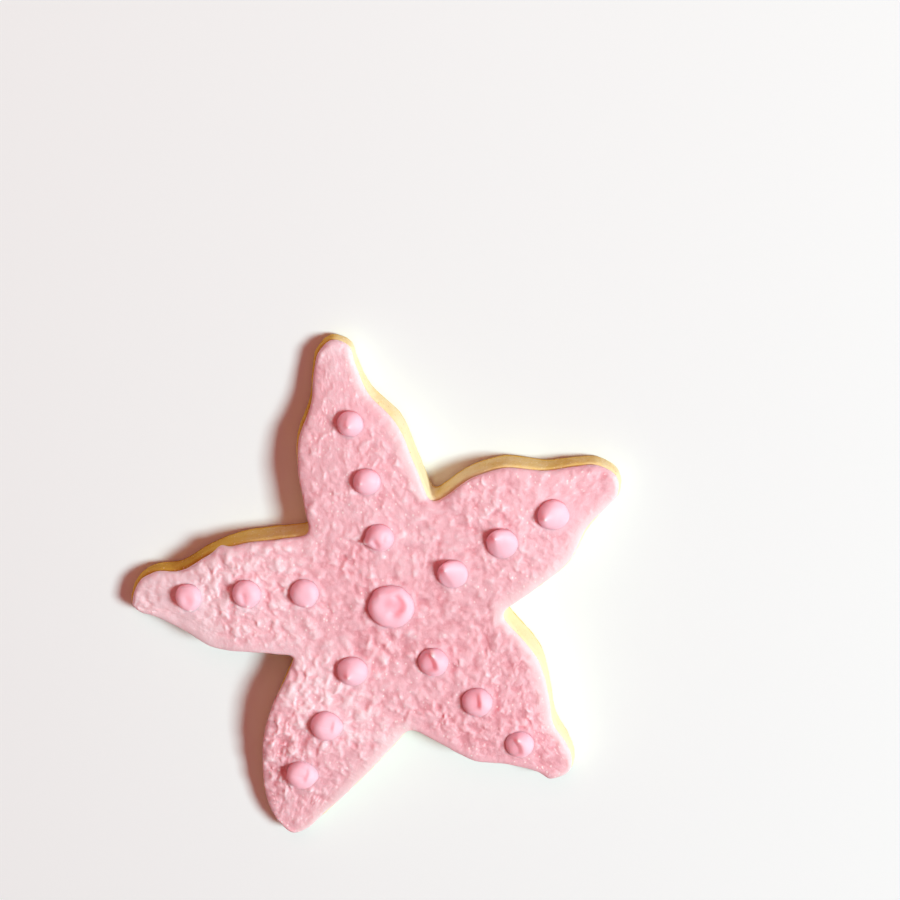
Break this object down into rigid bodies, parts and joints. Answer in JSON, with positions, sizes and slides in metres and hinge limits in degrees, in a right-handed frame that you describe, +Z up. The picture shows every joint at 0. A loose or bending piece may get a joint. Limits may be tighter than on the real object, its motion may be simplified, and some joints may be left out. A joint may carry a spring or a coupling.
{
  "type": "iced sugar cookie",
  "caption": "Star-shaped sugar cookie with uneven arms, a skin of dabbed icing over its top, a row of piped drops along each arm and a larger drop in the middle.",
  "frame": {"origin": "middle of the outline's bounding box, on the flat underside that the cookie rests on", "axes": "+Z up through the thickness from underside to icing; +Y towards the longest arm; +X to the right of that arm as seen from above"},
  "size_m": [0.0986, 0.1084, 0.0121],
  "materials": {
    "baked_dough": "dry, matte, finely crumbed, cream on the sides and a little browner along the lower edge",
    "icing": "matte dabbed sugar icing, paler on the crests and rosier in the hollows",
    "piped_icing": "smooth matte piped icing, a cooler and lighter pink than the skin below"
  },
  "bodies": {
    "root": {"biscuit": "baked_dough", "icing": "icing", "middle_drop": "piped_icing"}
  },
  "joints": []
}
